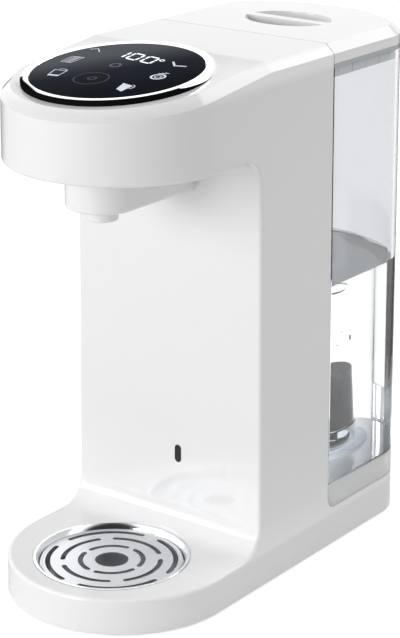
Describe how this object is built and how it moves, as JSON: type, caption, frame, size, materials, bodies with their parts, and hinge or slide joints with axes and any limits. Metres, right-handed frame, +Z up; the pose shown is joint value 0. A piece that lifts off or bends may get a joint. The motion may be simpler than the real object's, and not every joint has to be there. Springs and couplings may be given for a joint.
{
  "type": "water dispenser",
  "caption": "Countertop instant warm-water dispenser for baby bottles with round touch panel, bottle bay, drip tray and lift-off clear water tank.",
  "frame": {"origin": "on the counter surface, under the centre of the whole machine's outline seen from above", "axes": "+Z up, -Y the front where the bottle stands, +Y the rear with the water tank, +X to the right of a person facing the front"},
  "size_m": [0.138, 0.2912, 0.3158],
  "materials": {
    "white_gloss": "gloss",
    "white_satin": "satin",
    "polished_ring": "polished",
    "dark_glass": "polished",
    "grey_plastic": "satin",
    "screw_steel": "satin",
    "circuit_board": "satin",
    "board_part_black": "satin",
    "tinted_window": "gloss",
    "tray_steel": "fine brushed",
    "heater_steel": "satin",
    "black_rubber": "matt",
    "clear_silicone": "satin",
    "clear_tank": "clear gloss",
    "valve_plastic": "gloss",
    "clear_filter": "clear gloss",
    "filter_carbon": "granular"
  },
  "bodies": {
    "machine": {"base_housing": "white_gloss", "column_housing": "white_gloss", "head_housing": "white_gloss", "top_cover": "white_gloss", "panel_bezel": "polished_ring", "panel_glass": "dark_glass", "display_frame": "grey_plastic", "frame_screws": "screw_steel", "display_board": "circuit_board", "display_module": "board_part_black", "spout_housing": "white_gloss", "nozzle": "white_satin", "base_plate": "white_satin", "rubber_feet": "black_rubber", "base_screws": "screw_steel", "cord_gland": "grey_plastic", "sensor_window": "tinted_window", "sensor_board": "circuit_board", "rear_panel": "white_satin", "panel_screws": "screw_steel", "power_board": "circuit_board", "board_screws": "screw_steel", "board_parts": "board_part_black", "heater_tube": "heater_steel", "heater_caps": "grey_plastic", "heater_clamps": "heater_steel", "thermostats": "board_part_black", "temperature_probe": "board_part_black", "pump_volute": "grey_plastic", "pump_motor": "heater_steel", "pump_bracket": "grey_plastic", "tank_seat": "white_gloss", "inlet_hose": "clear_silicone", "pump_hose": "clear_silicone", "outlet_hose": "clear_silicone"},
    "tank": {"tank_body": "clear_tank", "valve_body": "valve_plastic", "valve_seal": "clear_silicone", "valve_spring": "screw_steel"},
    "poppet": {"valve_poppet": "valve_plastic", "poppet_seal": "clear_silicone"},
    "lid": {"tank_lid": "white_gloss", "lid_collar": "white_satin", "lid_gasket": "clear_silicone"},
    "filter": {"filter_base": "grey_plastic", "filter_seal": "clear_silicone", "filter_case": "clear_filter", "filter_media": "filter_carbon"},
    "drip_tray": {"drip_cup": "tray_steel"},
    "grille": {"drip_grille": "tray_steel"},
    "impeller": {"pump_impeller": "grey_plastic"}
  },
  "joints": [
    {"name": "tank_lift", "type": "slide", "parent": "machine", "child": "tank", "axis": [0, 0, 1], "range_m": [0, 0.15]},
    {"name": "valve_close", "type": "slide", "parent": "tank", "child": "poppet", "axis": [0, 0, -1], "range_m": [0, 0.003], "deforming": ["valve_spring"]},
    {"name": "lid_lift", "type": "slide", "parent": "tank", "child": "lid", "axis": [0, 0, 1], "range_m": [0, 0.06]},
    {"name": "filter_lift", "type": "slide", "parent": "tank", "child": "filter", "axis": [0, 0, 1], "range_m": [0, 0.12]},
    {"name": "drip_cup_lift", "type": "slide", "parent": "machine", "child": "drip_tray", "axis": [0, 0, 1], "range_m": [0, 0.04]},
    {"name": "grille_lift", "type": "slide", "parent": "drip_tray", "child": "grille", "axis": [0, 0, 1], "range_m": [0, 0.04]},
    {"name": "pump_spin", "type": "hinge", "parent": "machine", "child": "impeller", "pos_m": [0.026, 0.0114, 0.04], "axis": [0, 0, 1], "continuous": true}
  ],
  "couplings": [
    {"joint": "valve_close", "follows": "tank_lift", "ratio": 0.02}
  ]
}
